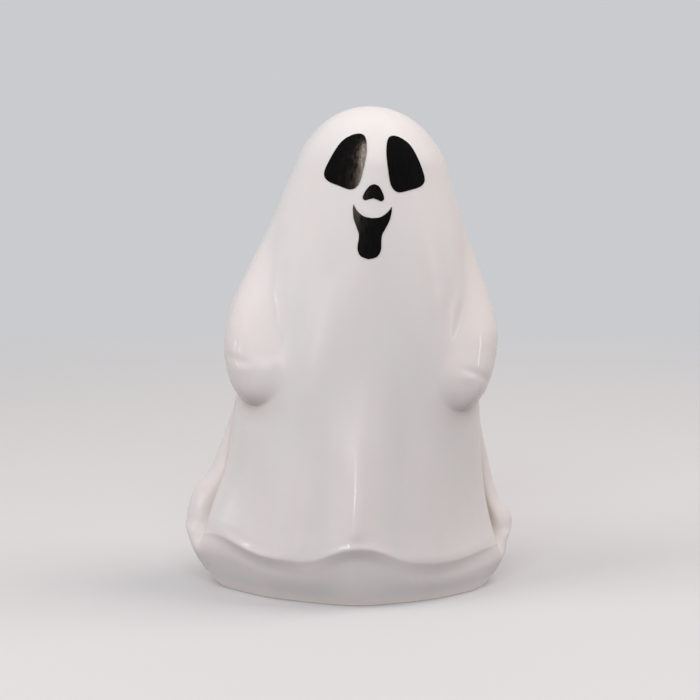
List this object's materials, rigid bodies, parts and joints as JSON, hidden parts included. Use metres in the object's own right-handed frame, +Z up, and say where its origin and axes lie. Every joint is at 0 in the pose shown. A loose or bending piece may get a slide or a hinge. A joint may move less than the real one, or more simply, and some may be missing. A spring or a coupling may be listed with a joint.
{
  "type": "light-up ghost decoration",
  "caption": "Free-standing hollow translucent ghost in a draped sheet with a printed face, lit from inside by a battery-powered light unit screwed into its base.",
  "frame": {"origin": "on the floor plane, under the middle of the base plate", "axes": "+Z up, the face looks along -Y, +X is to the right of a viewer who faces it"},
  "size_m": [0.1466, 0.1022, 0.216],
  "materials": {
    "shell": "translucent white blow-moulded polyethylene, semi-gloss",
    "ink": "pad-printed black ink, satin to gloss",
    "base": "white injection-moulded plastic, fine texture",
    "screw": "zinc-plated steel",
    "spring": "nickel-plated spring wire",
    "contact": "nickel-plated sheet",
    "terminal": "tinned brass",
    "cell": "dark sleeve with bare ends",
    "knob": "black plastic",
    "board": "green solder mask",
    "lens": "clear cast epoxy",
    "wire_black": "black insulation",
    "wire_red": "red insulation",
    "wire_orange": "orange insulation"
  },
  "bodies": {
    "ghost": {"ghost_shell": "shell", "face_print": "ink", "base_plate": "base", "flange_screws": "screw", "cell_1": "cell", "cell_2": "cell", "cell_3": "cell", "contact_negative": "contact", "contact_link_left": "contact", "contact_link_right": "contact", "contact_positive": "contact", "contact_spring_1": "spring", "contact_spring_2": "spring", "contact_spring_3": "spring", "switch_case": "contact", "switch_terminals": "terminal", "switch_screws": "screw", "led_board": "board", "board_screws": "screw", "led_1": "lens", "led_2": "lens", "led_3": "lens", "led_leads": "contact", "driver_chip": "knob", "resistors": "knob", "wire_negative": "wire_black", "wire_positive": "wire_red", "wire_switched": "wire_orange"},
    "door": {"battery_door": "base"},
    "captive_screw": {"door_screw": "screw", "screw_clip": "spring"},
    "switch": {"switch_knob": "knob"}
  },
  "joints": [
    {"name": "power_switch", "type": "slide", "parent": "ghost", "child": "switch", "axis": [0, 1, 0], "range_m": [0, 0.004]},
    {"name": "battery_door_hinge", "type": "hinge", "parent": "ghost", "child": "door", "pos_m": [-0.0366, 0, 0.0018], "axis": [0, 1, 0], "range_deg": [0, 90]},
    {"name": "door_screw_turn", "type": "hinge", "parent": "door", "child": "captive_screw", "pos_m": [0.0223, 0, 0.0015], "axis": [0, 0, 1], "continuous": true}
  ]
}
